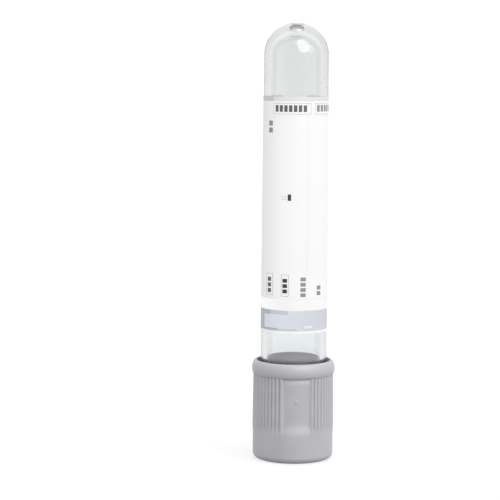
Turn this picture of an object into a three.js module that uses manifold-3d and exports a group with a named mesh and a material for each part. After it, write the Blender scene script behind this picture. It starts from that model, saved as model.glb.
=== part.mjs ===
// Evacuated blood collection tube, standing on the head of its closure with the round end up.
//
// A clear moulded tube carries a wrapped film label.  Its mouth is closed by a rubber stopper,
// and the stopper is held in a moulded cap whose skirt reaches down over the tube.  The cap has
// a rounded bead at its open end, three groups of grip ribs with a plain panel between each two,
// and a needle hole in its head.
//
// Millimetres, +Z up.  The origin is the centre of the cap's head face, and -Y is the front.
import * as THREE from 'three';
import { mergeVertices } from 'three/addons/utils/BufferGeometryUtils.js';
import Module from 'manifold-3d';

const wasm = await Module();
wasm.setup();

// ---------------------------------------------------------------- driving dimensions

// Tube
const tubeLength = 75;
const tubeMouthRadius = 6.48;
const tubeEndRadius = 6.27;
const tubeMouthWall = 1.15;
const tubeSideWall = 1.4;
const tubeEndWall = 1.9;
const tubeEndRise = 5.95;
const tubeRimRound = 0.3;
const gateRadius = 1.4;
const gateDepth = 1.05;
const gateDraft = 0.15;

// Cap
const headThickness = 1.6;
const headFillet = 1.2;
const headBandHeight = 5.6;
const headProud = 0.35;
const needleHoleRadius = 3.65;
const needleHoleChamfer = 0.25;
const skirtWall = 0.77;
const skirtReach = 9.2;
const gripRampLength = 2.4;
const beadHeight = 2.75;
const beadProud = 0.25;
const beadCrown = 1.7;
const mouthFlare = 0.32;
const mouthFlareLength = 1.8;
const lipRound = 0.2;
const snapRingHeight = 0.8;
const snapRingSlope = 0.2;

// Grip ribs and panels
const panelCount = 3;
const ribsPerGroup = 13;
const ribPitch = THREE.MathUtils.degToRad(6.15);
const ribWidth = 0.5;
const ribHeight = 0.35;
const ribFootProud = 0.1;
const ribSetback = 0.03;
const pipRadius = 0.45;
const pipHeight = 0.12;
const pipBelowLedge = 4.6;
const closureTurn = THREE.MathUtils.degToRad(4.6);

// Stopper
const flangeHeight = 8.7;
const flangeEdgeRound = 0.3;
const plugLength = 10;
const plugEdgeRound = 0.35;
const dishRim = 0.42;
const dishDepth = 0.4;
const wellRadius = 3.1;
const wellDraft = 0.1;
const wellDepth = 10;
const wellChamfer = 0.3;

// Label
const labelFromMouth = 15.1;
const labelLength = 45.9;
const labelThickness = 0.07;
const labelWindow = THREE.MathUtils.degToRad(60);

// Fits, each a gap between two pieces
const skirtClearance = 0.3;
const snapRingClearance = 0.1;
const flangeClearance = 0.05;
const plugClearance = 0.05;
const seatClearance = 0.05;
const labelClearance = 0.02;

// Facets
const turnSteps = 48;
const domeSteps = 9;
const beadSteps = 5;
const filletSteps = 4;
const ribCrownSteps = 4;

// ---------------------------------------------------------------- sizes that follow

const stopperBase = headThickness + seatClearance;
const flangeTop = stopperBase + flangeHeight;
const tubeMouth = flangeTop + seatClearance;
const tubeTop = tubeMouth + tubeLength;
const gateLevel = Math.sqrt(1 - (gateRadius / tubeEndRadius) ** 2);
const domeBase = tubeTop - tubeEndRise * gateLevel;

const skirtRadius = tubeMouthRadius + skirtClearance;
const snapRingRadius = tubeMouthRadius + snapRingClearance;
const gripRadius = skirtRadius + skirtWall;
const headRadius = gripRadius + headProud;
const ledgeRadius = gripRadius + ribHeight;
const beadRadius = ledgeRadius + beadProud;
const mouthRadius = skirtRadius + mouthFlare;
const capHeight = tubeMouth + skirtReach;
const ledge = capHeight - beadHeight;
const gripBase = headBandHeight + gripRampLength;

const flangeRadius = skirtRadius - flangeClearance;
const plugEnd = flangeTop + plugLength;
const labelBase = tubeMouth + labelFromMouth;

const boreMouthRadius = tubeMouthRadius - tubeMouthWall;
const boreEndRadius = tubeEndRadius - tubeSideWall;

/** How far a height is from the tube's mouth towards the foot of its dome, as a share. */
function shareAlongTube(z) {
  return (z - tubeMouth) / (domeBase - tubeMouth);
}

/** Outer radius of the tube at a height, with its draft. */
function tubeRadiusAt(z) {
  return THREE.MathUtils.lerp(tubeMouthRadius, tubeEndRadius, shareAlongTube(z));
}

/** Radius of the tube's bore at a height, with its draft. */
function boreRadiusAt(z) {
  return THREE.MathUtils.lerp(boreMouthRadius, boreEndRadius, shareAlongTube(z));
}

// ---------------------------------------------------------------- helpers

const DOWN = -Math.PI / 2;
const UP = Math.PI / 2;

/** A point of a turned profile: its radius and its height. */
function at(radius, z) {
  return new THREE.Vector2(radius, z);
}

/** Points along an arc of an ellipse, clockwise when the end angle is the smaller one. */
function arc(centre, radiusX, radiusZ, from, to, steps) {
  const curve = new THREE.EllipseCurve(
    centre.x, centre.y, radiusX, radiusZ, from, to, to < from);
  return curve.getPoints(steps);
}

/** The solid of a closed geometry, with its shared corners merged and empty faces dropped. */
function toSolid(geometry) {
  geometry.deleteAttribute('normal');
  geometry.deleteAttribute('uv');
  const merged = mergeVertices(geometry, 1e-4);
  const corners = merged.index.array;
  const faces = [];
  for (let i = 0; i < corners.length; i += 3) {
    const [a, b, c] = corners.slice(i, i + 3);
    if (a !== b && b !== c && c !== a) faces.push(a, b, c);
  }
  const mesh = new wasm.Mesh({
    numProp: 3,
    vertProperties: new Float32Array(merged.attributes.position.array),
    triVerts: new Uint32Array(faces),
  });
  return new wasm.Manifold(mesh);
}

/** A named mesh of a solid, in its own material. */
function toMesh(name, solid, colour, roughness) {
  const { vertProperties, triVerts } = solid.getMesh();
  const geometry = new THREE.BufferGeometry();
  geometry.setAttribute('position', new THREE.BufferAttribute(vertProperties, 3));
  geometry.setIndex(new THREE.BufferAttribute(triVerts, 1));
  geometry.computeVertexNormals();
  const material = new THREE.MeshStandardMaterial({ color: colour, roughness, metalness: 0 });
  const mesh = new THREE.Mesh(geometry, material);
  mesh.name = name;
  return mesh;
}

/** A profile of radius and height turned round the Z axis, counterclockwise in that plane. */
function turned(profile) {
  const geometry = new THREE.LatheGeometry(profile, turnSteps);
  geometry.rotateX(Math.PI / 2);
  return toSolid(geometry);
}

// ---------------------------------------------------------------- tube

/** Round-ended moulded tube, mouth down, with a gate well at the middle of its end. */
function tubeSolid() {
  const gateAngle = Math.acos(gateRadius / tubeEndRadius);
  const dome = at(0, domeBase);
  const rim = tubeMouth + tubeRimRound;
  return turned([
    ...arc(dome, boreEndRadius, tubeEndRise - tubeEndWall, UP, 0, domeSteps),
    at(boreMouthRadius, rim),
    at(boreMouthRadius + tubeRimRound, tubeMouth),
    ...arc(at(tubeMouthRadius - tubeRimRound, rim), tubeRimRound, tubeRimRound, DOWN, 0, filletSteps),
    ...arc(dome, tubeEndRadius, tubeEndRise, 0, gateAngle, domeSteps),
    at(gateRadius - gateDraft, tubeTop - gateDepth),
    at(0, tubeTop - gateDepth),
  ]);
}

// ---------------------------------------------------------------- label

/** Film label wrapped round the tube, with a clear window left between its two long edges. */
function labelSolid() {
  const labelTop = labelBase + labelLength;
  const innerBase = tubeRadiusAt(labelBase) + labelClearance;
  const innerTop = tubeRadiusAt(labelTop) + labelClearance;
  const sleeve = turned([
    at(innerBase, labelBase),
    at(innerBase + labelThickness, labelBase),
    at(innerTop + labelThickness, labelTop),
    at(innerTop, labelTop),
    at(innerBase, labelBase),
  ]);

  const reach = 2 * tubeMouthRadius;
  const halfWidth = reach * Math.tan(labelWindow / 2);
  const wedge = new THREE.Shape([at(0, 0), at(halfWidth, reach), at(-halfWidth, reach)]);
  const cutter = new THREE.ExtrudeGeometry(wedge, { depth: tubeLength, bevelEnabled: false });
  cutter.translate(0, 0, tubeMouth);
  return sleeve.subtract(toSolid(cutter));
}

// ---------------------------------------------------------------- stopper

/** Rubber stopper: a flange under the tube's rim, a plug in its bore and a needle well. */
function stopperSolid() {
  const wellFloor = stopperBase + wellDepth;
  const wellFloorRadius = wellRadius - wellDraft;
  const plugBaseRadius = boreMouthRadius - plugClearance;
  const plugEndRadius = boreRadiusAt(plugEnd) - plugClearance;
  const dishRadius = plugEndRadius - dishRim;
  return turned([
    at(0, wellFloor),
    at(wellFloorRadius, wellFloor),
    at(wellRadius, stopperBase + wellChamfer),
    at(wellRadius + wellChamfer, stopperBase),
    ...arc(at(flangeRadius - flangeEdgeRound, stopperBase + flangeEdgeRound),
      flangeEdgeRound, flangeEdgeRound, DOWN, 0, filletSteps),
    at(flangeRadius, flangeTop),
    at(plugBaseRadius, flangeTop),
    ...arc(at(plugEndRadius - plugEdgeRound, plugEnd - plugEdgeRound),
      plugEdgeRound, plugEdgeRound, 0, UP, filletSteps),
    ...arc(at(0, plugEnd), dishRadius, dishDepth, 0, DOWN, filletSteps),
  ]);
}

// ---------------------------------------------------------------- cap

/** The cap before its ribs: head, skirt and bead, with a snap ring over the flange. */
function capShell() {
  const beadCentre = at(mouthRadius + lipRound, capHeight - beadCrown);
  const beadHalfWidth = beadRadius - beadCentre.x;
  const beadFoot = -Math.acos((ledgeRadius - beadCentre.x) / beadHalfWidth);
  const beadSkirt = (ledge - beadCentre.y) / Math.sin(beadFoot);
  const ringBase = tubeMouth + seatClearance;
  const start = at(needleHoleRadius + needleHoleChamfer, 0);
  return turned([
    start,
    ...arc(at(headRadius - headFillet, headFillet), headFillet, headFillet, DOWN, 0, filletSteps),
    at(headRadius, headBandHeight),
    at(gripRadius, gripBase),
    at(gripRadius, ledge),
    ...arc(beadCentre, beadHalfWidth, beadSkirt, beadFoot, 0, beadSteps),
    ...arc(beadCentre, beadHalfWidth, beadCrown, 0, UP, beadSteps).slice(1),
    ...arc(at(beadCentre.x, capHeight - lipRound), lipRound, lipRound, UP, Math.PI, filletSteps).slice(1),
    at(skirtRadius, capHeight - mouthFlareLength),
    at(skirtRadius, ringBase + snapRingHeight),
    at(snapRingRadius, ringBase + snapRingHeight - snapRingSlope),
    at(snapRingRadius, ringBase + snapRingSlope),
    at(skirtRadius, ringBase),
    at(skirtRadius, headThickness),
    at(needleHoleRadius, headThickness),
    at(needleHoleRadius, needleHoleChamfer),
    start,
  ]);
}

/** One axial grip rib with a round crown, from the head band up into the bead. */
function ribSolid(angle) {
  const base = headBandHeight;
  const top = ledge + ribSetback;
  const crestBase = headRadius + ribFootProud;
  const crestTop = ledgeRadius - ribSetback;
  const root = ribHeight + skirtWall / 2;
  const crown = ribWidth / 2;

  const section = new THREE.Shape();
  section.moveTo(-crown, -root);
  section.lineTo(crown, -root);
  section.absarc(0, -crown, crown, 0, Math.PI, false);
  section.closePath();

  const rib = new THREE.ExtrudeGeometry(section, {
    depth: top - base,
    bevelEnabled: false,
    curveSegments: ribCrownSteps,
  });
  rib.rotateX(-Math.atan2(crestTop - crestBase, top - base));
  rib.translate(0, crestBase, base);
  rib.rotateZ(angle - Math.PI / 2);
  return toSolid(rib);
}

/** Small round mark that stands on the middle of the front panel. */
function pipSolid(angle) {
  const depth = skirtWall / 2 + pipHeight;
  const pip = new THREE.CylinderGeometry(pipRadius - pipHeight, pipRadius, depth, 16);
  pip.translate(0, gripRadius + pipHeight - depth / 2, 0);
  pip.translate(0, 0, ledge - pipBelowLedge);
  pip.rotateZ(angle - Math.PI / 2);
  return toSolid(pip);
}

/** The moulded cap, with its rib groups centred between the panels. */
function capSolid() {
  const front = -Math.PI / 2 + closureTurn;
  const groupStep = (2 * Math.PI) / panelCount;
  const groupSpan = (ribsPerGroup - 1) * ribPitch;
  const details = [pipSolid(front)];
  for (let group = 0; group < panelCount; group += 1) {
    const centre = front + (group + 0.5) * groupStep;
    for (let i = 0; i < ribsPerGroup; i += 1) {
      details.push(ribSolid(centre - groupSpan / 2 + i * ribPitch));
    }
  }
  return wasm.Manifold.union([capShell(), ...details]);
}

// ---------------------------------------------------------------- assembly

const closure = new THREE.Group();
closure.add(toMesh('cap', capSolid(), 0xbcbbc0, 0.45));
closure.add(toMesh('stopper', stopperSolid(), 0x8f8c90, 0.7));

const labelledTube = new THREE.Group();
labelledTube.add(toMesh('tube', tubeSolid(), 0xe3e8e7, 0.05));
labelledTube.add(toMesh('label', labelSolid(), 0xf4f7f6, 0.4));

const bloodCollectionTube = new THREE.Group();
bloodCollectionTube.add(closure, labelledTube);

export default bloodCollectionTube;
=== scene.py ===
"""Looks for a blood collection tube that stands on the head of its cap.

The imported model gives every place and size.  Fine turned meshes stand for its four faceted
pieces: the clear tube, the film label with its printed fields, the rubber stopper and the
ribbed cap.  Metres, +Z up, and -Y is the front.
"""

import logging
import math
from dataclasses import dataclass, field
from enum import Enum
from typing import Callable, ClassVar, Optional, Sequence, Union

import bpy
from bpy.types import ID, Material, Node, NodeSocket, NodeTree, Object
from mathutils import Matrix, Quaternion, Vector


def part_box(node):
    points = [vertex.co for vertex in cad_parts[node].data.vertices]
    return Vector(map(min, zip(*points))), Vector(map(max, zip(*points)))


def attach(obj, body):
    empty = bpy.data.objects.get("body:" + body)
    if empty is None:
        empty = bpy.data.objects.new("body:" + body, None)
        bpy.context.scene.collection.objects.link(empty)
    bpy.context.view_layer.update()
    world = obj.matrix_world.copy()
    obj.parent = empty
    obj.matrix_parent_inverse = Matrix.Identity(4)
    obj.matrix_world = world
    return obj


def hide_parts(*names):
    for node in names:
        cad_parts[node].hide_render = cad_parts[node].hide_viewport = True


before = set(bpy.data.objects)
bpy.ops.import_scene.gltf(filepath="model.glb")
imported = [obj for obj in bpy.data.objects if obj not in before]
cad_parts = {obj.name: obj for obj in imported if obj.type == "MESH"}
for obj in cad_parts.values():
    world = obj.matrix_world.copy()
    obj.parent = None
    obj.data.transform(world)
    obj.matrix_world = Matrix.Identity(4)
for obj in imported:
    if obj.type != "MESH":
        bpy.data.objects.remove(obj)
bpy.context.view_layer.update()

MM = 0.001
TURN = 2.0 * math.pi
FRONT = -math.pi / 2.0
ON_AXIS = 1e-9
LOG = logging.getLogger("tube")

Colour = tuple[float, float, float]
Value = Union[float, Sequence[float], NodeSocket]

PALE_DUST: Colour = (0.82, 0.81, 0.78)
GREY_DUST: Colour = (0.5, 0.49, 0.47)
BLOCK_SHARE = 0.72


class Body(Enum):
    """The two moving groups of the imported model."""

    CLOSURE = "closure"
    LABELLED_TUBE = "labelled_tube"


class Slot(Enum):
    """The record's material slots."""

    TUBE = "clear_tube"
    LABEL = "label_film"
    STOPPER = "stopper_rubber"
    CAP = "cap_plastic"


def linked(name: str, data: ID) -> Object:
    """Makes an object of a mesh, lamp or camera and links it to the scene."""
    made = bpy.data.objects.new(name, data)
    bpy.context.scene.collection.objects.link(made)
    return made


# ------------------------------------------------------------------ turned forms


@dataclass(frozen=True)
class Station:
    """One ring of a turned form.

    Attributes:
        radius: radius of the plain form.
        z: height.
        crest: radius that the ribs reach at this height, or 0 where there are none.
    """

    radius: float
    z: float
    crest: float = 0.0


Relief = Callable[[float, Station], float]


def arc(
    centre: tuple[float, float],
    radii: tuple[float, float],
    start: float,
    end: float,
    steps: int,
) -> list[Station]:
    """Stations along an arc of an ellipse in the plane of radius and height.

    Args:
        centre: radius and height of the arc's centre.
        radii: half widths of the ellipse along the radius and along the height.
        start: first angle in degrees, counted from outwards towards up.
        end: last angle in degrees.
        steps: number of chords.

    Returns:
        The stations, with both ends.
    """
    made = []
    for i in range(steps + 1):
        angle = math.radians(start + (end - start) * i / steps)
        radius = centre[0] + radii[0] * math.cos(angle)
        made.append(Station(max(radius, 0.0), centre[1] + radii[1] * math.sin(angle)))
    return made


def bend(
    centre: tuple[float, float], radius: float, start: float, end: float, steps: int
) -> list[Station]:
    """Stations along an arc of a circle, with both ends, as arc makes them."""
    return arc(centre, (radius, radius), start, end, steps)


def straight(start: Station, end: Station, steps: int) -> list[Station]:
    """Evenly spaced stations on a straight line.

    Args:
        start: the first station.
        end: the last station.
        steps: number of stretches.

    Returns:
        The stations, with both ends.
    """
    made = []
    for i in range(steps + 1):
        share = i / steps
        made.append(
            Station(
                start.radius + (end.radius - start.radius) * share,
                start.z + (end.z - start.z) * share,
            )
        )
    return made


def even_angles(steps: int) -> list[float]:
    """Directions of evenly spaced columns round a whole turn."""
    return [FRONT + TURN * i / steps for i in range(steps)]


class TurnedMesh:
    """A closed skin made of rings of points, one ring for each station of a profile.

    The profile runs counterclockwise in the plane of radius and height.  It starts and ends on
    the axis, or closes on itself.
    """

    def __init__(
        self,
        profile: Sequence[Station],
        angles: Sequence[float],
        relief: Optional[Relief] = None,
        whole: bool = True,
    ) -> None:
        """Makes the points and faces.

        Args:
            profile: the stations in order.
            angles: directions of the columns, rising.
            relief: extra radius at an angle and station, where the form is not plain.
            whole: whether the columns go all the way round.
        """
        self.points: list[tuple[float, float, float]] = []
        self.faces: list[tuple[int, ...]] = []
        self._angles = angles
        rings = [self._ring(station, relief) for station in profile]
        if profile[0].radius > ON_AXIS:
            rings.append(rings[0])
        for low, high in zip(rings, rings[1:]):
            self._bridge(low, high, whole)
        if not whole:
            self.faces.append(tuple(ring[0] for ring in reversed(rings[:-1])))
            self.faces.append(tuple(ring[-1] for ring in rings[:-1]))

    def _ring(self, station: Station, relief: Optional[Relief]) -> list[int]:
        """Adds the points of one station.

        Args:
            station: the station.
            relief: extra radius, if any.

        Returns:
            The points' numbers, a single one where the station lies on the axis.
        """
        first = len(self.points)
        if station.radius <= ON_AXIS:
            self.points.append((0.0, 0.0, station.z))
            return [first]
        for angle in self._angles:
            radius = station.radius + (relief(angle, station) if relief else 0.0)
            self.points.append((radius * math.cos(angle), radius * math.sin(angle), station.z))
        return list(range(first, len(self.points)))

    def _bridge(self, low: list[int], high: list[int], whole: bool) -> None:
        """Adds the faces between two rings, either of which may be a single point.

        Args:
            low: the points' numbers of the earlier ring.
            high: the points' numbers of the later ring.
            whole: whether the last column joins the first.
        """
        count = len(self._angles)
        for i in range(count if whole else count - 1):
            j = (i + 1) % count
            if len(low) == 1:
                self.faces.append((low[0], high[j], high[i]))
            elif len(high) == 1:
                self.faces.append((low[i], low[j], high[0]))
            else:
                self.faces.append((low[i], low[j], high[j], high[i]))

    def join(self, other: "TurnedMesh") -> None:
        """Adds the points and faces of another mesh to this one."""
        first = len(self.points)
        self.points.extend(other.points)
        self.faces.extend(tuple(first + corner for corner in face) for face in other.faces)

    def place(self, turn: Quaternion, shift: Vector) -> None:
        """Turns the points about the origin and then shifts them."""
        self.points = [tuple(turn @ Vector(point) + shift) for point in self.points]

    def piece(self, name: str, crease: float) -> Object:
        """Makes a smooth-shaded object, with hard edges only where faces meet sharply.

        Args:
            name: the piece's name.
            crease: angle in degrees from which an edge stays hard.

        Returns:
            The new object, linked to the scene.
        """
        mesh = bpy.data.meshes.new(name)
        mesh.from_pydata(self.points, [], self.faces)
        mesh.validate()
        mesh.shade_smooth()
        mesh.set_sharp_from_angle(angle=math.radians(crease))
        return linked(name, mesh)


# ------------------------------------------------------------------ nodes


class NodeSheet:
    """Adds and joins the nodes of one material, world or group."""

    def __init__(self, tree: NodeTree) -> None:
        """Takes the tree that the nodes go into."""
        self.tree = tree

    def feed(self, socket: NodeSocket, value: Value) -> None:
        """Sets a socket to a constant, or joins it to another socket."""
        if isinstance(value, NodeSocket):
            self.tree.links.new(value, socket)
        else:
            socket.default_value = value

    def add(self, kind: str, inputs: Optional[dict[str, Value]] = None, **settings: object) -> Node:
        """Adds one node.

        Args:
            kind: the node's type.
            inputs: values or sockets by the name of the input.
            settings: attributes of the node.

        Returns:
            The new node.
        """
        node = self.tree.nodes.new(kind)
        for name, value in settings.items():
            setattr(node, name, value)
        self.fill(node, inputs or {})
        return node

    def fill(self, node: Node, inputs: dict[str, Value]) -> None:
        """Sets or joins a node's inputs, given by name."""
        for name, value in inputs.items():
            self.feed(node.inputs[name], value)

    def vector(self, operation: str, *values: Value) -> Node:
        """Adds a Vector Math node."""
        node = self.add("ShaderNodeVectorMath", operation=operation)
        for socket, value in zip(node.inputs, values):
            self.feed(socket, value)
        return node

    def noise(self, place: Value, scale: Value, detail: float) -> NodeSocket:
        """Adds a noise texture and returns its value."""
        given = {"Vector": place, "Scale": scale, "Detail": detail}
        return self.add("ShaderNodeTexNoise", given).outputs["Fac"]

    def bump(self, depth: float, height: NodeSocket) -> NodeSocket:
        """Adds a relief of a depth in metres and returns the bent normal."""
        given = {"Strength": 1.0, "Distance": depth, "Height": height}
        return self.add("ShaderNodeBump", given).outputs["Normal"]

    def times(self, first: Value, second: Value) -> NodeSocket:
        """Multiplies two values."""
        return self.math("MULTIPLY", first, second)

    def math(self, operation: str, *values: Value) -> NodeSocket:
        """Adds a Math node and returns its result."""
        node = self.add("ShaderNodeMath", operation=operation)
        for socket, value in zip(node.inputs, values):
            self.feed(socket, value)
        return node.outputs[0]

    def span(self, value: Value, low: float, high: float, start: float, end: float) -> NodeSocket:
        """Carries a value from one range to another, held at the new range's ends.

        Args:
            value: the value to carry.
            low: value that becomes start.
            high: value that becomes end.
            start: result at low.
            end: result at high.

        Returns:
            The result.
        """
        given = {"From Min": low, "From Max": high, "To Min": start, "To Max": end}
        node = self.add("ShaderNodeMapRange", {"Value": value, **given})
        return node.outputs["Result"]

    def blend(self, share: Value, first: Value, second: Value) -> NodeSocket:
        """Mixes two colours.

        Args:
            share: how much of the second colour shows, from 0 to 1.
            first: colour at a share of 0.
            second: colour at a share of 1.

        Returns:
            The mixed colour.
        """
        node = self.add("ShaderNodeMix", data_type="RGBA")
        self.feed(node.inputs[0], share)
        for socket, value in zip((node.inputs[6], node.inputs[7]), (first, second)):
            self.feed(socket, value if isinstance(value, NodeSocket) else (*value, 1.0))
        return node.outputs[2]

    def place(self) -> NodeSocket:
        """The point's place in the piece's own frame, which stays with the piece as it moves."""
        return self.add("ShaderNodeTexCoord").outputs["Object"]

    def height(self, place: NodeSocket) -> NodeSocket:
        """The height of a place, in metres."""
        return self.add("ShaderNodeSeparateXYZ", {"Vector": place}).outputs["Z"]

    def level(self, place: NodeSocket) -> NodeSocket:
        """A place moved straight down to the height of the origin."""
        return self.vector("MULTIPLY", place, (1.0, 1.0, 0.0)).outputs["Vector"]

    def off_axis(self, place: NodeSocket) -> NodeSocket:
        """How far a place is from the object's upright axis, in metres."""
        return self.vector("LENGTH", self.level(place)).outputs["Value"]

    def inwards(self, place: NodeSocket) -> NodeSocket:
        """1 where the surface at a place faces the object's upright axis, and else 0."""
        normal = self.add("ShaderNodeTexCoord").outputs["Normal"]
        along = self.vector("DOT_PRODUCT", self.level(place), normal).outputs["Value"]
        return self.math("LESS_THAN", along, 0.0)


@dataclass(frozen=True)
class GroupSocket:
    """One named input or output of a shared effect."""

    name: str
    kind: str = "NodeSocketFloat"
    value: float = 0.0


class SharedEffect:
    """A node group that more than one material uses, built once."""

    title = ""
    inputs: tuple[GroupSocket, ...] = ()
    outputs: tuple[GroupSocket, ...] = ()

    def tree(self) -> NodeTree:
        """Gives the group, which the first call builds."""
        known = bpy.data.node_groups.get(self.title)
        if known:
            return known
        group = bpy.data.node_groups.new(self.title, "ShaderNodeTree")
        for way, sockets in (("INPUT", self.inputs), ("OUTPUT", self.outputs)):
            for socket in sockets:
                item = group.interface.new_socket(
                    name=socket.name, in_out=way, socket_type=socket.kind
                )
                if way == "INPUT" and socket.kind == "NodeSocketFloat":
                    item.default_value = socket.value
        sheet = NodeSheet(group)
        given = sheet.add("NodeGroupInput")
        found = sheet.add("NodeGroupOutput")
        for name, result in self.fill(sheet, given).items():
            sheet.feed(found.inputs[name], result)
        return group

    def fill(self, sheet: NodeSheet, given: Node) -> dict[str, NodeSocket]:
        """Builds the inside of the group.

        Args:
            sheet: where the nodes go.
            given: the group's input node.

        Returns:
            The results by the name of the output.
        """
        raise NotImplementedError

    def use(self, sheet: NodeSheet, **values: Value) -> Node:
        """Places the group in a material.

        Args:
            sheet: the material's sheet.
            values: values or sockets by the input's name, in lower case with underscores.

        Returns:
            The group's node.
        """
        node = sheet.add("ShaderNodeGroup", node_tree=self.tree())
        for name, value in values.items():
            sheet.feed(node.inputs[name.replace("_", " ").capitalize()], value)
        return node


class FineGrain(SharedEffect):
    """The matt grain of a moulded or cast skin, with slow changes of tone over it."""

    title = "fine_grain"
    inputs = (
        GroupSocket("Place", "NodeSocketVector"),
        GroupSocket("Grains per metre", value=9000.0),
        GroupSocket("Clouds per metre", value=260.0),
        GroupSocket("Stretch", value=1.0),
    )
    outputs = (GroupSocket("Height"), GroupSocket("Tone"))

    def fill(self, sheet: NodeSheet, given: Node) -> dict[str, NodeSocket]:
        """Two noises, of which the second may be drawn out along the tube's axis.

        Args:
            sheet: where the nodes go.
            given: the group's input node.

        Returns:
            The height of the grain and the slow tone, both from 0 to 1.
        """
        took = given.outputs
        stretch = sheet.add("ShaderNodeCombineXYZ", {"X": 1.0, "Y": 1.0, "Z": took["Stretch"]})
        drawn = sheet.vector("MULTIPLY", took["Place"], stretch.outputs[0]).outputs[0]
        tone = sheet.noise(drawn, took["Clouds per metre"], 3.0)
        return {
            "Height": sheet.noise(took["Place"], took["Grains per metre"], 2.0),
            "Tone": sheet.span(tone, 0.3, 0.7, 0.0, 1.0),
        }


class DustSpecks(SharedEffect):
    """Sparse specks of dust, gathered in loose patches."""

    title = "dust_specks"
    inputs = (
        GroupSocket("Place", "NodeSocketVector"),
        GroupSocket("Specks per metre", value=700.0),
        GroupSocket("Reach", value=0.05),
    )
    outputs = (GroupSocket("Mask"),)
    patches_per_metre = 180.0
    patch_limit = 0.52

    def fill(self, sheet: NodeSheet, given: Node) -> dict[str, NodeSocket]:
        """Small dots round scattered points, kept only where a slow noise is high.

        Args:
            sheet: where the nodes go.
            given: the group's input node.

        Returns:
            The mask, 1 on a speck.
        """
        took = given.outputs
        around = {"Vector": took["Place"], "Scale": took["Specks per metre"]}
        dots = sheet.add("ShaderNodeTexVoronoi", around)
        near = sheet.math("LESS_THAN", dots.outputs["Distance"], took["Reach"])
        patches = sheet.noise(took["Place"], self.patches_per_metre, 1.0)
        kept = sheet.math("GREATER_THAN", patches, self.patch_limit)
        return {"Mask": sheet.times(near, kept)}


class EdgeRubHighlightShade(SharedEffect):
    """Masks of the proud edges, burnished by handling and lightened as a painted highlight, and of the
    corners, darkened as painted shade.
    """

    title = "edge_rub_highlight_shade"
    inputs = (GroupSocket("Edge", value=0.06), GroupSocket("Corner", value=0.06))
    outputs = (GroupSocket("Rubbed and highlit"), GroupSocket("Painted shade"))

    def fill(self, sheet: NodeSheet, given: Node) -> dict[str, NodeSocket]:
        """Reads how proud or hollow the surface is.

        Args:
            sheet: where the nodes go.
            given: the group's input node.

        Returns:
            The two masks, from 0 to 1.
        """
        proud = sheet.add("ShaderNodeNewGeometry").outputs["Pointiness"]
        above = sheet.math("SUBTRACT", proud, 0.5)
        rubbed_highlit = sheet.math("DIVIDE", above, given.outputs["Edge"])
        corner_shade = sheet.math("DIVIDE", sheet.times(above, -1.0), given.outputs["Corner"])
        return {
            "Rubbed and highlit": sheet.span(rubbed_highlit, 0.0, 1.0, 0.0, 1.0),
            "Painted shade": sheet.span(corner_shade, 0.0, 1.0, 0.0, 1.0),
        }


class PrintField(SharedEffect):
    """A printed rectangle, between two directions and two heights."""

    title = "print_field"
    inputs = tuple(GroupSocket(name) for name in ("Turn", "Rise", "Left", "Right", "Low", "High"))
    outputs = (GroupSocket("Mask"),)

    def fill(self, sheet: NodeSheet, given: Node) -> dict[str, NodeSocket]:
        """Compares the point's direction and height with the field's four sides.

        Args:
            sheet: where the nodes go.
            given: the group's input node.

        Returns:
            The mask, 1 inside the field.
        """
        took = given.outputs
        inside = []
        for way, start, end in (("Turn", "Left", "Right"), ("Rise", "Low", "High")):
            past = sheet.math("GREATER_THAN", took[way], took[start])
            short = sheet.math("LESS_THAN", took[way], took[end])
            inside.append(sheet.times(past, short))
        return {"Mask": sheet.times(*inside)}


# ------------------------------------------------------------------ finishes


def new_material(name: str) -> tuple[Material, NodeSheet, Node]:
    """Starts a material.

    Args:
        name: the finish's name.

    Returns:
        The material, the sheet for its nodes and its Principled BSDF.
    """
    material = bpy.data.materials.new(name)
    material.use_nodes = True
    sheet = NodeSheet(material.node_tree)
    return material, sheet, material.node_tree.nodes["Principled BSDF"]


def scaled(colour: Colour, amount: float) -> Colour:
    """A colour made lighter or darker by a factor."""
    return (colour[0] * amount, colour[1] * amount, colour[2] * amount)


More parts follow.
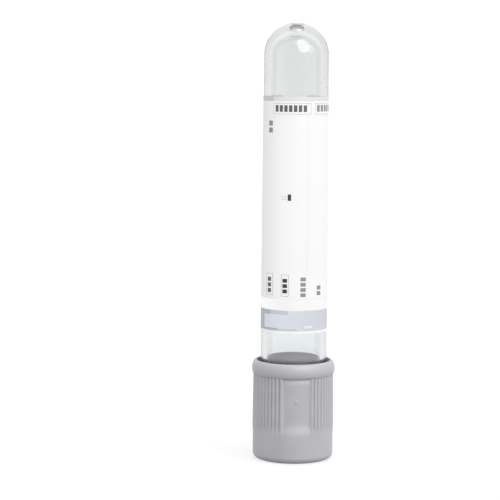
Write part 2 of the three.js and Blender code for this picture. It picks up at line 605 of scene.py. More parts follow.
@dataclass(frozen=True)
class MattMoulding:
    """Pale moulded plastic or cast rubber with a fine matt skin.

    Attributes:
        name: the material's name.
        colour: the plain colour.
        roughness: the mean roughness.
        sheen: roughness lost on rubbed edges.
        grains: grains per metre of the skin.
        relief: depth of the grain in metres.
        cloud: how far the tone drifts, as a share of the colour.
        painted_corner_shade: painted shade in the corners, how much darker they are, as a share of the
            colour.
        painted_shadow: heights in millimetres between which the outer skin is painted ever darker
        lower down, a painted shadow, and the radius where that starts, or None.
        painted_glow: a painted glow for light that reaches it through clear plastic, as a share of the
            colour.
    """

    name: str
    colour: Colour
    roughness: float
    sheen: float = 0.08
    grains: float = 9000.0
    relief: float = 0.000004
    cloud: float = 0.035
    painted_corner_shade: float = 0.12
    painted_shadow: Optional[tuple[float, float, float]] = None
    painted_glow: float = 0.0

    def material(self) -> Material:
        """Builds the finish."""
        material, sheet, shader = new_material(self.name)
        place = sheet.place()
        grain = FineGrain().use(sheet, place=place, grains_per_metre=self.grains)
        edge_marks = EdgeRubHighlightShade().use(sheet)
        dust = DustSpecks().use(sheet, place=place)
        tone = grain.outputs["Tone"]

        dark = scaled(self.colour, 1.0 - self.cloud)
        light = scaled(self.colour, 1.0 + self.cloud)
        shade = sheet.blend(tone, dark, light)
        # Painted shade darkens the corners and a painted highlight lightens the proud edges; the dust
        # specks are real.
        layers = (
            (edge_marks.outputs["Painted shade"], 0.6, scaled(self.colour, 1.0 - self.painted_corner_shade)),
            (edge_marks.outputs["Rubbed and highlit"], 0.5, scaled(self.colour, 1.08)),
            (dust.outputs["Mask"], 0.35, PALE_DUST),
        )
        for mask, share, over in layers:
            shade = sheet.blend(sheet.times(mask, share), shade, over)
        # Painted shadow: lower down between the given heights, the outer skin is painted ever darker.
        if self.painted_shadow is not None:
            low, high, reach = (limit * MM for limit in self.painted_shadow)
            outer = sheet.span(sheet.off_axis(place), reach, reach + 0.15 * MM, 0.0, 1.0)
            shadow_share = sheet.span(sheet.height(place), low, high, 0.75, 0.0)
            shade = sheet.blend(sheet.times(outer, shadow_share), shade, scaled(self.colour, 0.3))
        # Painted glow: the shaded colour is also given off as light.
        if self.painted_glow > 0.0:
            sheet.fill(shader, {"Emission Color": shade, "Emission Strength": self.painted_glow})
        rough = sheet.span(tone, 0.0, 1.0, self.roughness - 0.04, self.roughness + 0.04)
        smoother = sheet.times(edge_marks.outputs["Rubbed and highlit"], self.sheen)
        sheet.fill(shader, {
            "Base Color": shade,
            "Roughness": sheet.math("SUBTRACT", rough, smoother),
            "Normal": sheet.bump(self.relief, grain.outputs["Height"]),
        })
        return material


@dataclass(frozen=True)
class ClearPolyester:
    """Clear moulded polyester, with faint flow lines along the tube, and painted shade where a wall is seen
    edge on and square on.

    Attributes:
        name: the material's name.
        colour: the tint of the walls.
        low_tint: the tint lower down, towards the mouth.
        low_tint_reach: heights in millimetres between which that tint gives way to the walls' own.
        shade: how much of the tint's lightness is left where a wall is seen edge on, a painted shade.
        depth: how much of it is left where a wall is seen square on, a painted shade.
        cloud: how far the tint drifts along the flow lines, as a share of the colour.
        bend: the index of refraction.
        relief: depth of the flow lines in metres.
        scar: radius and lower limit in millimetres of the rough scar that the gate leaves.
        scar_tint: the scar's colour.
        frost: roughness of the scar.
        edge_facing: between which turns away from the viewer the painted edge-on shade comes in.
        rim_facing: between which it goes partly again, at the very rim.
        rim_share: how much of it goes there.
        square_facing: up to which turn a wall counts as seen square on.
    """

    name: str
    colour: Colour
    low_tint: Colour = (0.877, 0.902, 0.903)
    low_tint_reach: tuple[float, float] = (25.0, 60.0)
    shade: float = 0.80
    depth: float = 0.955
    cloud: float = 0.03
    bend: float = 1.57
    relief: float = 0.000006
    scar: tuple[float, float] = (1.5, 84.0)
    scar_tint: Colour = (0.99, 0.995, 0.99)
    frost: float = 0.4
    edge_facing: tuple[float, float] = (0.345, 0.44)
    rim_facing: tuple[float, float] = (0.6, 0.76)
    rim_share: float = 0.35
    square_facing: float = 0.25

    def material(self) -> Material:
        """Builds the finish."""
        material, sheet, shader = new_material(self.name)
        # Painted shade by the view: the tint is darker where a wall is seen edge on, a little lighter again
        # at the very rim, and darker square on.
        facing = sheet.add("ShaderNodeLayerWeight").outputs["Facing"]
        rim = sheet.span(facing, *self.rim_facing, 0.0, self.rim_share)
        edge = sheet.math("SUBTRACT", sheet.span(facing, *self.edge_facing, 0.0, 1.0), rim)
        square = sheet.span(facing, 0.0, self.square_facing, 1.0, 0.0)
        place = sheet.place()
        flow = FineGrain().use(
            sheet, place=place, grains_per_metre=300.0, clouds_per_metre=420.0, stretch=0.06
        )
        tone = flow.outputs["Tone"]
        dark = scaled(self.colour, 1.0 - self.cloud)
        drift = sheet.blend(tone, dark, scaled(self.colour, 1.0 + self.cloud))
        flat = sheet.blend(square, drift, scaled(self.colour, self.depth))
        height = sheet.height(place)
        # Lower down, towards the mouth, the walls take a tint of their own.
        low_tint_reach = sheet.span(height, self.low_tint_reach[0] * MM, self.low_tint_reach[1] * MM, 1.0, 0.0)
        flat = sheet.blend(low_tint_reach, flat, self.low_tint)
        tint = sheet.blend(edge, flat, scaled(self.colour, self.shade))
        reach, low = (limit * MM for limit in self.scar)
        inner = sheet.span(sheet.off_axis(place), reach, reach + 0.2 * MM, 1.0, 0.0)
        above = sheet.span(height, low, low + 0.1 * MM, 0.0, 1.0)
        scar = sheet.times(inner, above)
        dust = DustSpecks().use(sheet, place=place, specks_per_metre=500.0, reach=0.04)
        smooth = sheet.span(tone, 0.0, 1.0, 0.07, 0.11)
        hazed = sheet.math("MULTIPLY_ADD", dust.outputs["Mask"], 0.25, smooth)
        frosted = sheet.times(scar, self.frost)
        sheet.fill(shader, {
            "Base Color": sheet.blend(scar, tint, self.scar_tint),
            "Transmission Weight": 1.0,
            "IOR": self.bend,
            "Roughness": sheet.math("MAXIMUM", hazed, frosted),
            "Normal": sheet.bump(self.relief, tone),
        })
        return material


class Ink(Enum):
    """The label's printed tones and its painted shade and painted highlight, from the palest up, each drawn
    over those before it.
    """

    FILM_EDGE = (0.75, 0.76, 0.775)
    # painted shade on the left of the film's margin
    EDGE_SHADE = (0.60, 0.61, 0.62)
    PALE_RULE = (0.80, 0.81, 0.80)
    RULE = (0.42, 0.43, 0.43)
    BAND = (0.685, 0.72, 0.768)
    # a painted highlight on the band
    BAND_CHIP = (0.82, 0.84, 0.87)
    # painted shade on the band; its rim is also partly a print edge
    BAND_FADE = (0.56, 0.59, 0.645)
    BAND_RIM = (0.455, 0.48, 0.545)
    GREY = (0.26, 0.27, 0.28)
    DARK = (0.10, 0.105, 0.11)
    BLACK = (0.02, 0.02, 0.022)


@dataclass(frozen=True)
class Field:
    """One printed rectangle: degrees round the tube from the front, and millimetres up.

    Attributes:
        left: side towards the viewer's left.
        right: side towards the viewer's right.
        low: lower side.
        high: upper side.
        ink: its tone.
        line: width of the outline in millimetres, or 0 where the field is filled.
    """

    left: float
    right: float
    low: float
    high: float
    ink: Ink
    line: float = 0.0


ROUND = (-180.0, 180.0)


def blocks(left: float, right: float, low: float, high: float, count: int, ink: Ink) -> list[Field]:
    """A row of plain blocks side by side, which stands for a printed word.

    Args:
        left: left side of the row.
        right: right side of the row.
        low: lower side.
        high: upper side.
        count: number of blocks.
        ink: their tone.

    Returns:
        The blocks.
    """
    pitch = (right - left) / count
    return [
        Field(left + i * pitch, left + (i + BLOCK_SHARE) * pitch, low, high, ink) for i in range(count)
    ]


def stack(left: float, right: float, low: float, high: float, count: int, ink: Ink) -> list[Field]:
    """A column of plain blocks one above the other, which stands for a word printed upwards."""
    pitch = (high - low) / count
    return [Field(left, right, low + i * pitch, low + (i + BLOCK_SHARE) * pitch, ink) for i in range(count)]


@dataclass(frozen=True)
class PrintedFilm:
    """White label film with plain printed fields and a clear margin at each end, with a painted glow and
    painted light and shade.

    Attributes:
        name: the material's name.
        colour: the unprinted film.
        roughness: the mean roughness.
        skin: radius at which the outlines are measured, in millimetres.
        fields: what is printed.
        relief: depth of the film's grain in metres.
        drift: the darker tone of the unprinted film, as a share of the colour.
        inner_glow: a painted glow on the film's inner face, for light that the thin film lets through.
        painted_glow: a painted glow on its outer face on the side away from the lamps.
        bare_glow: lower and upper limit in millimetres of the strip with the most painted glow,
            and how much.
        band_light_tilt: degrees to each side over which the band's ink turns from paler to deeper, painted
            light and shade, and by what share.
        film_rise: directions in degrees between which the film's painted glow comes in.
        film_fall: directions between which it goes again.
        bare_sides: directions where the bare strip starts and ends.
        bare_rise: directions between which the strip's painted glow comes in.
        bare_fall: directions between which it goes again.
    """

    name: str
    colour: Colour
    roughness: float
    skin: float
    fields: tuple[Field, ...]
    relief: float = 0.000003
    drift: float = 0.975
    inner_glow: float = 0.42
    painted_glow: float = 0.137
    bare_glow: tuple[float, float, float] = (30.0, 32.2, 0.25)
    band_light_tilt: tuple[float, float] = (58.0, 0.1)
    film_rise: tuple[float, float] = (-85.0, -35.0)
    film_fall: tuple[float, float] = (-20.0, 20.0)
    bare_sides: tuple[float, float] = (-130.0, 45.0)
    bare_rise: tuple[float, float] = (-125.0, -70.0)
    bare_fall: tuple[float, float] = (-50.0, 16.0)

    def material(self) -> Material:
        """Builds the finish."""
        material, sheet, shader = new_material(self.name)
        place = sheet.place()
        grain = FineGrain().use(
            sheet, place=place, grains_per_metre=5000.0, clouds_per_metre=140.0, stretch=0.25
        )
        dust = DustSpecks().use(sheet, place=place, specks_per_metre=420.0, reach=0.035)
        shade = sheet.blend(grain.outputs["Tone"], scaled(self.colour, self.drift), self.colour)
        parts = sheet.add("ShaderNodeSeparateXYZ", {"Vector": place})
        back = sheet.times(parts.outputs["Y"], -1.0)
        turn = sheet.math("DEGREES", sheet.math("ARCTAN2", parts.outputs["X"], back))
        rise = sheet.times(parts.outputs["Z"], 1.0 / MM)
        shade = self._printed(sheet, turn, rise, shade)
        speck = sheet.times(dust.outputs["Mask"], 0.3)
        # Painted glow: on the film's inner face, towards the left of its outer face and on the bare strip.
        inner_glow = sheet.times(sheet.inwards(place), self.inner_glow)
        painted_glow = sheet.math("MAXIMUM", inner_glow, self._outer_glow(sheet, turn, rise))
        rough = sheet.span(
            grain.outputs["Tone"], 0.0, 1.0, self.roughness - 0.05, self.roughness + 0.05
        )
        sheet.fill(shader, {
            "Base Color": sheet.blend(speck, shade, GREY_DUST),
            "Emission Color": sheet.blend(painted_glow, (0.0, 0.0, 0.0), shade),
            "Emission Strength": 1.0,
            "Roughness": rough,
            "Coat Weight": 0.25,
            "Coat Roughness": 0.3,
            "Normal": sheet.bump(self.relief, grain.outputs["Height"]),
        })
        return material

    def _outer_glow(self, sheet: NodeSheet, turn: NodeSocket, rise: NodeSocket) -> NodeSocket:
        """How much painted glow comes out of the film's outer face.

        Args:
            sheet: the material's sheet.
            turn: the point's direction in degrees.
            rise: its height in millimetres.

        Returns:
            The share, highest to the left and on the bare strip.
        """
        low, high, most = self.bare_glow
        near = sheet.span(turn, *self.film_rise, 0.0, self.painted_glow)
        film = sheet.times(near, sheet.span(turn, *self.film_fall, 1.0, 0.0))
        strip = self._mask(sheet, turn, rise, Field(*self.bare_sides, low, high, Ink.FILM_EDGE))
        eased = sheet.times(strip, sheet.span(turn, *self.bare_rise, 0.0, 1.0))
        lit = sheet.times(eased, sheet.span(turn, *self.bare_fall, most, 0.0))
        return sheet.math("MAXIMUM", film, lit)

    def _printed(
        self, sheet: NodeSheet, turn: NodeSocket, rise: NodeSocket, shade: NodeSocket
    ) -> NodeSocket:
        """Draws every field over the film.

        Args:
            sheet: the material's sheet.
            turn: the point's direction in degrees.
            rise: its height in millimetres.
            shade: the film's colour.

        Returns:
            The printed colour.
        """
        for ink in Ink:
            masks = [self._mask(sheet, turn, rise, one) for one in self.fields if one.ink is ink]
            while len(masks) > 1:
                masks.append(sheet.math("MAXIMUM", masks.pop(0), masks.pop(0)))
            if masks:
                tone = self._lit_band_ink(sheet, turn, ink) if ink is Ink.BAND else ink.value
                shade = sheet.blend(masks[0], shade, tone)
        return shade

    def _lit_band_ink(self, sheet: NodeSheet, turn: NodeSocket, ink: Ink) -> NodeSocket:
        """An ink a little paler to the left and deeper to the right: painted light and shade."""
        reach, change = self.band_light_tilt
        across = sheet.span(turn, -reach, reach, 0.0, 1.0)
        return sheet.blend(across, scaled(ink.value, 1.0 + change), scaled(ink.value, 1.0 - change))

    def _mask(self, sheet: NodeSheet, turn: NodeSocket, rise: NodeSocket, one: Field) -> NodeSocket:
        """The mask of one field, hollow where it is an outline."""
        group = PrintField()
        outer = group.use(
            sheet, turn=turn, rise=rise, left=one.left, right=one.right, low=one.low, high=one.high
        )
        if one.line <= 0.0:
            return outer.outputs["Mask"]
        side = math.degrees(one.line / self.skin)
        inner = group.use(
            sheet,
            turn=turn,
            rise=rise,
            left=one.left + side,
            right=one.right - side,
            low=one.low + one.line,
            high=one.high - one.line,
        )
        return sheet.math("SUBTRACT", outer.outputs["Mask"], inner.outputs["Mask"])


# ------------------------------------------------------------------ pieces


@dataclass
class TubePart:
    """What the four pieces share: a finish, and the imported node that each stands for.

    Attributes:
        finish: the piece's finish.
        node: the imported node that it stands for.
        body: the body that it moves with.
        slot: the record's slot of its finish.
    """

    finish: Union[MattMoulding, ClearPolyester, PrintedFilm]
    node: ClassVar[str]
    body: ClassVar[Body]
    slot: ClassVar[Slot]

    def build(self) -> Object:
        """Makes the piece's mesh."""
        raise NotImplementedError

    def dress(self, piece: Object) -> None:
        """Gives a piece its finish, sets it on its body and lets it stand for its node."""
        piece.data.materials.append(self.finish.material())
        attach(piece, self.body.value)
        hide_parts(self.node)
        LOG.info("%s: %d faces on %s", piece.name, len(piece.data.polygons), self.body.value)


@dataclass
class ClearTube(TubePart):
    """Round-ended moulded tube, mouth down, with a gate well at the middle of its end."""

    node = "tube"
    body = Body.LABELLED_TUBE
    slot = Slot.TUBE
    mouth_radius: float = 6.48 * MM
    end_radius: float = 6.27 * MM
    mouth_wall: float = 1.15 * MM
    side_wall: float = 1.4 * MM
    end_wall: float = 1.9 * MM
    end_rise: float = 5.95 * MM
    rim_round: float = 0.3 * MM
    gate_radius: float = 1.4 * MM
    gate_depth: float = 1.05 * MM
    gate_draft: float = 0.15 * MM
    gate_round: float = 0.12 * MM
    gate_gap: float = 1.2
    columns: int = 192

    def profile(self) -> list[Station]:
        """Stations from the middle of the inner end, down the bore and up the outside."""
        low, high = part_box("tube")
        mouth, top = low.z, high.z
        gate = math.acos(self.gate_radius / self.end_radius)
        base = top - self.end_rise * math.sin(gate)
        rim = mouth + self.rim_round
        bore_end = self.end_radius - self.side_wall
        bore_mouth = self.mouth_radius - self.mouth_wall
        lip = (self.mouth_radius - self.rim_round, rim)
        dome = (0.0, base)
        brim = (self.gate_radius + 0.5 * self.gate_round, top - self.gate_round)
        well = self.gate_radius - self.gate_draft - self.gate_round
        floor = (well, top - self.gate_depth + self.gate_round)
        end = math.degrees(gate) - self.gate_gap
        return [
            *arc(dome, (bore_end, self.end_rise - self.end_wall), 90.0, 0.0, 40),
            *straight(Station(bore_end, base), Station(bore_mouth, rim), 24)[1:],
            *bend((bore_mouth + self.rim_round, rim), self.rim_round, 180.0, 270.0, 6)[1:],
            *bend(lip, self.rim_round, -90.0, 0.0, 6),
            *straight(Station(self.mouth_radius, rim), Station(self.end_radius, base), 24)[1:],
            *arc(dome, (self.end_radius, self.end_rise), 0.0, end, 40)[1:],
            *bend(brim, self.gate_round, 60.0, 180.0, 6),
            *bend(floor, self.gate_round, 0.0, -90.0, 4),
            Station(0.0, top - self.gate_depth),
        ]

    def build(self) -> Object:
        """Makes the tube's mesh."""
        return TurnedMesh(self.profile(), even_angles(self.columns)).piece("clear_tube_wall", 35.0)


@dataclass
class WrappedLabel(TubePart):
    """Film label wrapped round the tube, with a clear window left at the back.

    Attributes:
        thickness: the film's thickness.
        window: degrees of the tube left clear.
        taper: how much the tube's radius falls with each metre of height.
        columns: stretches round the tube.
    """

    node = "label"
    body = Body.LABELLED_TUBE
    slot = Slot.LABEL
    thickness: float = 0.07 * MM
    window: float = 60.0
    taper: float = (6.48 - 6.27) / (79.6 - 10.4)
    columns: int = 160

    def build(self) -> Object:
        """Makes the label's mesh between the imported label's two ends."""
        low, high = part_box("label")
        base_radius = high.x
        top_radius = base_radius - self.taper * (high.z - low.z)
        inner = (base_radius - self.thickness, top_radius - self.thickness)
        profile = [
            *straight(Station(base_radius, low.z), Station(top_radius, high.z), 12),
            *straight(Station(inner[1], high.z), Station(inner[0], low.z), 12),
        ]
        reach = TURN - math.radians(self.window)
        steps = range(self.columns + 1)
        angles = [FRONT - reach / 2.0 + reach * i / self.columns for i in steps]
        return TurnedMesh(profile, angles, whole=False).piece("wrapped_label", 35.0)


@dataclass
class RubberStopper(TubePart):
    """Rubber stopper: a flange under the tube's rim, a plug in its bore and a needle well."""

    node = "stopper"
    body = Body.CLOSURE
    slot = Slot.STOPPER
    flange_height: float = 8.7 * MM
    edge_round: float = 0.3 * MM
    plug_base_radius: float = 5.28 * MM
    plug_end_radius: float = 5.22 * MM
    plug_round: float = 0.35 * MM
    dish_radius: float = 4.8 * MM
    dish_depth: float = 0.4 * MM
    well_radius: float = 3.1 * MM
    well_draft: float = 0.1 * MM
    well_depth: float = 10.0 * MM
    well_chamfer: float = 0.3 * MM
    well_round: float = 0.3 * MM
    step_round: float = 0.2 * MM
    neck_round: float = 0.15 * MM
    columns: int = 144

    def profile(self) -> list[Station]:
        """Stations from the floor of the well, down and out, and up to the dished end."""
        low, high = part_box("stopper")
        flange = high.x
        floor = low.z + self.well_depth
        step = low.z + self.flange_height
        foot = (flange - self.edge_round, low.z + self.edge_round)
        shoulder = (self.plug_end_radius - self.plug_round, high.z - self.plug_round)
        neck = (self.plug_base_radius + self.neck_round, step + self.neck_round)
        corner = (flange - self.step_round, step - self.step_round)
        well = self.well_radius - self.well_draft - self.well_round
        return [
            *straight(Station(0.0, floor), Station(well, floor), 2),
            *bend((well, floor - self.well_round), self.well_round, 90.0, 0.0, 5),
            Station(self.well_radius, low.z + self.well_chamfer),
            Station(self.well_radius + self.well_chamfer, low.z),
            *bend(foot, self.edge_round, -90.0, 0.0, 6),
            *bend(corner, self.step_round, 0.0, 90.0, 4),
            *bend(neck, self.neck_round, 270.0, 180.0, 4),
            *bend(shoulder, self.plug_round, 0.0, 90.0, 8),
            *arc((0.0, high.z), (self.dish_radius, self.dish_depth), 0.0, -90.0, 16),
        ]

    def build(self) -> Object:
        """Makes the stopper's mesh."""
        return TurnedMesh(self.profile(), even_angles(self.columns)).piece("rubber_stopper", 35.0)


@dataclass
class RibbedCap(TubePart):
    """Moulded cap: a head with a needle hole, a ribbed and panelled skirt, and a rolled bead."""

    node = "cap"
    body = Body.CLOSURE
    slot = Slot.CAP
    head_thickness: float = 1.6 * MM
    head_fillet: float = 1.2 * MM
    head_band: float = 5.6 * MM
    head_radius: float = 7.9 * MM
    hole_radius: float = 3.65 * MM
    hole_chamfer: float = 0.25 * MM
    skirt_radius: float = 6.78 * MM
    grip_radius: float = 7.55 * MM
    grip_ramp: float = 2.4 * MM
    ledge_radius: float = 7.9 * MM
    bead_height: float = 2.75 * MM
    bead_crown: float = 1.7 * MM
    mouth_radius: float = 7.1 * MM
    mouth_flare: float = 1.8 * MM
    lip_round: float = 0.2 * MM
    ring_radius: float = 6.58 * MM
    ring_base: float = 10.45 * MM
    ring_height: float = 0.8 * MM
    panels: int = 3
    ribs: int = 13
    rib_pitch: float = math.radians(6.15)
    rib_depth: float = 0.3 * MM
    rib_foot: float = 0.1 * MM
    rib_run_out: float = 1.4 * MM
    rib_setback: float = 0.03 * MM
    rib_blend: float = 0.06 * MM
    rib_flank: float = 2.5
    ledge_lip: tuple[tuple[float, float], ...] = ((-0.09, 0.0), (-0.04, 0.008), (0.0, 0.04))
    ring_slope: float = 0.2 * MM
    groove_height: float = 0.4 * MM
    groove_depth: float = 0.12 * MM
    pip_radius: float = 0.45 * MM
    pip_height: float = 0.12 * MM
    pip_sink: float = 0.06 * MM
    pip_below_ledge: float = 4.6 * MM
    turn: float = math.radians(4.6)
    rib_angles: list[float] = field(default_factory=list)

    def __post_init__(self) -> None:
        """Works out where the ribs stand, centred between the panels."""
        middle = (self.ribs - 1) / 2.0
        for group in range(self.panels):
            centre = FRONT + self.turn + (group + 0.5) * TURN / self.panels
            for i in range(self.ribs):
                self.rib_angles.append(centre + (i - middle) * self.rib_pitch)

    def columns(self) -> list[float]:
        """Directions of the columns: close together across each rib and even on the panels."""
        steps = 6
        angles = []
        for i, centre in enumerate(self.rib_angles):
            angles.extend(centre + self.rib_pitch * j / (2.0 * steps) for j in range(-steps, steps))
            if i % self.ribs == self.ribs - 1:
                gap = TURN / self.panels - self.ribs * self.rib_pitch
                edge = centre + self.rib_pitch / 2.0
                angles.extend(edge + gap * share / 24.0 for share in range(24))
        return sorted(angles)

    def relief(self, angle: float, station: Station) -> float:
        """How far the nearest rib stands out at a direction and station.

        Args:
            angle: the direction.
            station: the station.

        Returns:
            The extra radius, with the rib's foot blended into the skirt.
        """
        if station.crest <= 0.0:
            return 0.0
        apart = min(abs(math.remainder(angle - rib, TURN)) for rib in self.rib_angles)
        half = self.rib_pitch / 2.0
        if apart < half:
            drop = self.rib_depth * (apart / half) ** 2
        else:
            drop = self.rib_depth + self.rib_flank * (apart - half) * self.ledge_radius
        rise = station.crest - station.radius - drop
        near = max(self.rib_blend - abs(rise), 0.0) / self.rib_blend
        return max(rise, 0.0) + near * near * self.rib_blend / 4.0

    def profile(self) -> list[Station]:
        """Stations from the needle hole's edge, over the head, up the skirt and down inside."""
        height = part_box("cap")[1].z
        ledge = height - self.bead_height
        centre = (self.mouth_radius + self.lip_round, height - self.bead_crown)
        bead_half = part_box("cap")[1].x - centre[0]
        foot = math.acos((self.ledge_radius - centre[0]) / bead_half)
        skirt_half = (centre[1] - ledge) / math.sin(foot)
        start = math.degrees(foot)
        fillet = (self.head_radius - self.head_fillet, self.head_fillet)
        ring_top = self.ring_base + self.ring_height
        return [
            Station(self.hole_radius + self.hole_chamfer, 0.0),
            *bend(fillet, self.head_fillet, -90.0, 0.0, 12),
            *self._skirt(ledge),
            *arc(centre, (bead_half, skirt_half), -start, 0.0, 10)[1:],
            *arc(centre, (bead_half, self.bead_crown), 0.0, 90.0, 16)[1:],
            *bend((centre[0], height - self.lip_round), self.lip_round, 90.0, 180.0, 5)[1:],
            Station(self.skirt_radius, height - self.mouth_flare),
            Station(self.skirt_radius, ring_top),
            Station(self.ring_radius, ring_top - self.ring_slope),
            Station(self.ring_radius, self.ring_base + self.ring_slope),
            Station(self.skirt_radius, self.ring_base),
            Station(self.skirt_radius, self.head_thickness),
            Station(self.hole_radius, self.head_thickness),
            Station(self.hole_radius, self.hole_chamfer),
            *bend(
                (self.hole_radius + self.hole_chamfer, self.hole_chamfer),
                self.hole_chamfer, 180.0, 270.0, 4,
            )[1:-1],
        ]

    def _skirt(self, ledge: float) -> list[Station]:
        """Stations of the ribbed stretch, from the head band to the ledge under the bead."""
        base = self.head_band
        foot = base - self.rib_run_out
        crest_base = self.head_radius + self.rib_foot
        crest_top = self.ledge_radius - self.rib_setback
        corner = 0.05 * MM
        ramp = []
        for i in range(7):
            share = i / 6.0
            eased = share * share * (3.0 - 2.0 * share)
            radius = self.head_radius + (self.grip_radius - self.head_radius) * eased
            ramp.append(Station(radius, base + self.grip_ramp * share))
        groove = ledge - self.groove_height
        sunk = self.grip_radius - self.groove_depth
        plain = [
            *straight(Station(self.head_radius, foot), ramp[0], 6)[:-1],
            *ramp,
            *straight(ramp[-1], Station(self.grip_radius, groove - corner), 8)[1:],
            Station((self.grip_radius + sunk) / 2.0, groove + corner / 2.0),
            Station(sunk, groove + 2.0 * corner),
            *bend((sunk + corner, ledge - corner), corner, 180.0, 90.0, 4),
            *(Station(self.ledge_radius + out * MM, ledge + up * MM) for out, up in self.ledge_lip),
        ]
        ribbed = []
        for one in plain:
            share = min(max((one.z - base) / (ledge - base), 0.0), 1.0)
            out = min((one.z - foot) / (2.0 * self.rib_run_out), 1.0)
            fade = (1.0 - out * out * (3.0 - 2.0 * out)) * (self.rib_foot + self.rib_setback)
            crest = crest_base + (crest_top - crest_base) * share - fade
            ribbed.append(Station(one.radius, one.z, crest))
        return ribbed

    def pip(self, ledge: float) -> TurnedMesh:
        """The small round mark that stands on the middle of the front panel."""
        flat = self.pip_radius - self.pip_height
        profile = [
            Station(0.0, -self.pip_sink),
            Station(self.pip_radius, -self.pip_sink),
            Station(self.pip_radius, 0.0),
            *bend((flat, 0.0), self.pip_height, 0.0, 90.0, 5)[1:],
            Station(0.0, self.pip_height),
        ]
        mark = TurnedMesh(profile, even_angles(32))
        front = FRONT + self.turn
        outwards = Vector((math.cos(front), math.sin(front), 0.0))
        aim = Vector((0.0, 0.0, 1.0)).rotation_difference(outwards)
        shift = outwards * self.grip_radius + Vector((0.0, 0.0, ledge - self.pip_below_ledge))
        mark.place(aim, shift)
        return mark

    def build(self) -> Object:
        """Makes the cap's mesh."""
        mesh = TurnedMesh(self.profile(), self.columns(), self.relief)
        mesh.join(self.pip(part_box("cap")[1].z - self.bead_height))
        return mesh.piece("ribbed_cap", 40.0)


# ------------------------------------------------------------------ studio


@dataclass
class Softbox:
    """A rectangular lamp that faces the object.

    Attributes:
        name: its name.
        azimuth: degrees round from the front, towards the viewer's right.
        elevation: degrees above the horizon.
        size: width and height in metres.
        power: watts.
        distance: metres from the object.
        aim: height that it faces, in metres.
        lights: whether it lights matt surfaces.
        shows: whether it shows in gloss.
    """

    name: str
    azimuth: float
    elevation: float
    size: tuple[float, float]
    power: float
    distance: float = 0.6
    aim: float = 0.08
    lights: bool = True
    shows: bool = True

    def hang(self) -> Object:
        """Makes the lamp and turns it to the object."""
        light = bpy.data.lights.new(self.name, "AREA")
        light.shape = "ELLIPSE"
        light.size, light.size_y = self.size
        light.energy = self.power
        lamp = linked(self.name, light)
        azimuth, elevation = math.radians(self.azimuth), math.radians(self.elevation)
        level = math.cos(elevation)
        way = Vector((level * math.sin(azimuth), -level * math.cos(azimuth), math.sin(elevation)))
        lamp.location = way * self.distance + Vector((0.0, 0.0, self.aim))
        lamp.rotation_euler = way.to_track_quat("Z", "Y").to_euler()
        lamp.visible_diffuse = self.lights
        lamp.visible_glossy = self.shows
        lamp.visible_transmission = self.lights
        return lamp


@dataclass
class Studio:
    """White floor and surround, softboxes and the camera."""

    lamps: tuple[Softbox, ...]
    surround: float = 1.08
    gloss_share: float = 0.75
    floor_reach: float = 3.0
    floor_colour: Colour = (0.30, 0.30, 0.30)
    floor_glow: tuple[float, float] = (0.66, 0.78)
    lens: float = 139.68
    distance: float = 0.381
    pitch: float = math.radians(5.8)
    roll: float = math.radians(0.46)
    aim: float = 41.22 * MM
    aside: float = 0.022938

    def _seen(self, sheet: NodeSheet) -> NodeSocket:
        """1 for a ray that shows the background straight on or through glass, less in gloss."""
        path = sheet.add("ShaderNodeLightPath")
        gloss = sheet.times(path.outputs["Is Glossy Ray"], self.gloss_share)
        direct = sheet.math("MAXIMUM", path.outputs["Is Camera Ray"], gloss)
        return sheet.math("MAXIMUM", direct, path.outputs["Is Transmission Ray"])

    def surroundings(self) -> None:
        """Makes the world: white where it is seen, and dimmer as a light on the object."""
        world = bpy.data.worlds.new("studio_surround")
        world.use_nodes = True
        bpy.context.scene.world = world
        sheet = NodeSheet(world.node_tree)
        shader = world.node_tree.nodes["Background"]
        shader.inputs["Color"].default_value = (1.0, 1.0, 1.0, 1.0)
        path = sheet.add("ShaderNodeLightPath")
        rays = path.outputs
        dimmed = sheet.span(rays["Is Glossy Ray"], 0.0, 1.0, self.surround, self.gloss_share)
        clear = sheet.math("MAXIMUM", rays["Is Camera Ray"], rays["Is Transmission Ray"])
        sheet.feed(shader.inputs["Strength"], sheet.math("MAXIMUM", dimmed, clear))

    def floor(self) -> Object:
        """Makes the floor, which keeps the object's shadow."""
        reach = self.floor_reach
        ways = ((-1.0, -1.0), (1.0, -1.0), (1.0, 1.0), (-1.0, 1.0))
        corners = [(reach * x, reach * y, 0.0) for x, y in ways]
        mesh = bpy.data.meshes.new("studio_floor")
        mesh.from_pydata(corners, [], [(0, 1, 2, 3)])
        floor = linked("studio_floor", mesh)

        material, sheet, shader = new_material("white_floor")
        away = sheet.vector("LENGTH", sheet.place()).outputs["Value"]
        glow = sheet.span(away, 0.1, 0.7, *self.floor_glow)
        sheet.fill(shader, {
            "Base Color": (*self.floor_colour, 1.0),
            "Roughness": 0.9,
            "Specular IOR Level": 0.1,
            "Emission Color": (1.0, 1.0, 1.0, 1.0),
            "Emission Strength": sheet.times(glow, self._seen(sheet)),
        })
        mesh.materials.append(material)
        return floor

    def camera(self) -> Object:
        """Makes the camera, a little above the tube's middle and level with its front."""
        forward = Vector((0.0, math.cos(self.pitch), -math.sin(self.pitch)))
        level_up = Vector((1.0, 0.0, 0.0)).cross(forward)
        right = Vector((math.cos(self.roll), 0.0, 0.0)) + level_up * math.sin(self.roll)
        up = right.cross(forward)
        lens = bpy.data.cameras.new("studio_camera")
        lens.lens = self.lens
        lens.sensor_width = 36.0
        lens.clip_start = 0.01
        camera = linked("studio_camera", lens)
        place = Vector((0.0, 0.0, self.aim)) - (forward + right * self.aside) * self.distance
        axes = Matrix((right, up, -forward)).transposed().to_4x4()
        camera.matrix_world = Matrix.Translation(place) @ axes
        bpy.context.scene.camera = camera
        return camera

    def set_up(self) -> None:
        """Makes the whole studio."""
        self.surroundings()
        self.floor()
        for lamp in self.lamps:
            lamp.hang()
        self.camera()
        bpy.context.scene.view_settings.view_transform = "Standard"
        LOG.info("studio: %d lamps", len(self.lamps))


# ------------------------------------------------------------------ the object


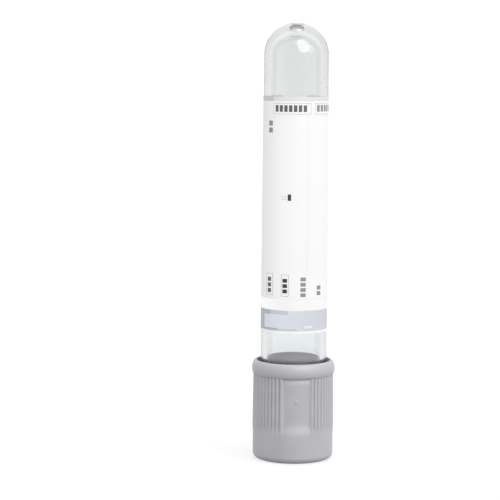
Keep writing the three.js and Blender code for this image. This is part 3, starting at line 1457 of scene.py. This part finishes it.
def label_fields() -> tuple[Field, ...]:
    """What is drawn on the label: printed rules, frames, plain blocks and the band at its foot, with
    painted shade on the margin and band and a painted highlight on the band.
    """
    fields = [
        Field(*ROUND, 70.5, 71.5, Ink.FILM_EDGE),
        # Painted shade: the film's top margin darker towards the left.
        Field(-120.0, -44.0, 70.5, 71.5, Ink.EDGE_SHADE),
        Field(*ROUND, 67.60, 67.68, Ink.PALE_RULE),
        Field(*ROUND, 32.26, 32.34, Ink.PALE_RULE),
        Field(-43.5, 26.0, 68.0, 70.1, Ink.RULE, 0.08),
        Field(33.7, 104.0, 68.0, 70.13, Ink.RULE, 0.08),
        *blocks(-38.9, 20.5, 68.45, 69.73, 7, Ink.DARK),
        *blocks(38.0, 100.0, 68.5, 69.8, 7, Ink.GREY),
        *stack(-54.5, -45.0, 64.4, 67.1, 2, Ink.GREY),
        Field(-14.1, -8.1, 51.36, 52.60, Ink.BLACK),
        Field(-24.6, -17.5, 51.53, 52.27, Ink.RULE, 0.08),
        Field(41.4, 54.4, 51.75, 51.85, Ink.PALE_RULE),
        Field(21.2, 21.8, 37.0, 67.0, Ink.PALE_RULE),
        Field(-57.3, -41.1, 32.9, 37.1, Ink.RULE, 0.1),
        *stack(-53.5, -45.0, 33.4, 36.7, 3, Ink.DARK),
        Field(-24.5, -10.9, 32.75, 37.0, Ink.RULE, 0.1),
        *stack(-21.8, -13.6, 33.4, 36.5, 3, Ink.BLACK),
        *stack(9.5, 18.9, 32.7, 36.8, 4, Ink.GREY),
        *stack(41.4, 50.5, 32.9, 35.1, 2, Ink.GREY),
        Field(*ROUND, 26.0, 30.0, Ink.BAND),
        # Painted shade: the band darker to the left and at its right edge; its upper and lower edges,
        # partly a print edge, carry painted shade that fades to the right.
        Field(-100.0, -62.5, 26.0, 30.0, Ink.BAND_RIM),
        Field(-100.0, -46.0, 29.1, 30.0, Ink.BAND_RIM),
        Field(-46.0, -12.0, 29.2, 30.0, Ink.BAND_FADE),
        Field(-100.0, -30.0, 26.0, 26.5, Ink.BAND_RIM),
        Field(-30.0, 4.0, 26.0, 26.4, Ink.BAND_FADE),
        Field(66.0, 100.0, 26.0, 30.0, Ink.BAND_FADE),
        # A painted highlight on the band.
        Field(17.5, 32.0, 26.55, 27.05, Ink.BAND_CHIP),
    ]
    return tuple(fields)


def pieces() -> tuple[TubePart, ...]:
    """The four pieces of the object, in the order in which they are assembled."""
    cap = MattMoulding("satin_cap_plastic", (0.484, 0.474, 0.504), 0.48)
    # The rubber carries a painted shadow low on its plug and a painted glow.
    rubber = MattMoulding(
        "matt_grey_rubber", (0.345, 0.328, 0.358), 0.66,
        grains=7000.0, relief=0.000006, painted_shadow=(19.8, 20.42, 4.82), painted_glow=0.32,
    )
    polyester = ClearPolyester("clear_polyester", (0.893, 0.905, 0.903))
    film = PrintedFilm("printed_film", (0.944, 0.949, 0.944), 0.42, 6.55, label_fields())
    return RibbedCap(cap), RubberStopper(rubber), ClearTube(polyester), WrappedLabel(film)


def main() -> None:
    """Builds the object and the studio."""
    logging.basicConfig(level=logging.INFO, format="%(name)s: %(message)s")
    for part in pieces():
        part.dress(part.build())
    lamps = (
        Softbox("side_softbox", 56.0, 27.0, (0.6, 0.6), 2.1, 0.8, shows=False),
        Softbox("top_softbox", 20.0, 74.0, (0.4, 0.4), 1.0, 0.8, shows=False),
        Softbox("sheen_softbox", 25.0, 30.0, (0.44, 0.60), 2.7, lights=False),
    )
    Studio(lamps).set_up()


if __name__ == "__main__":
    main()
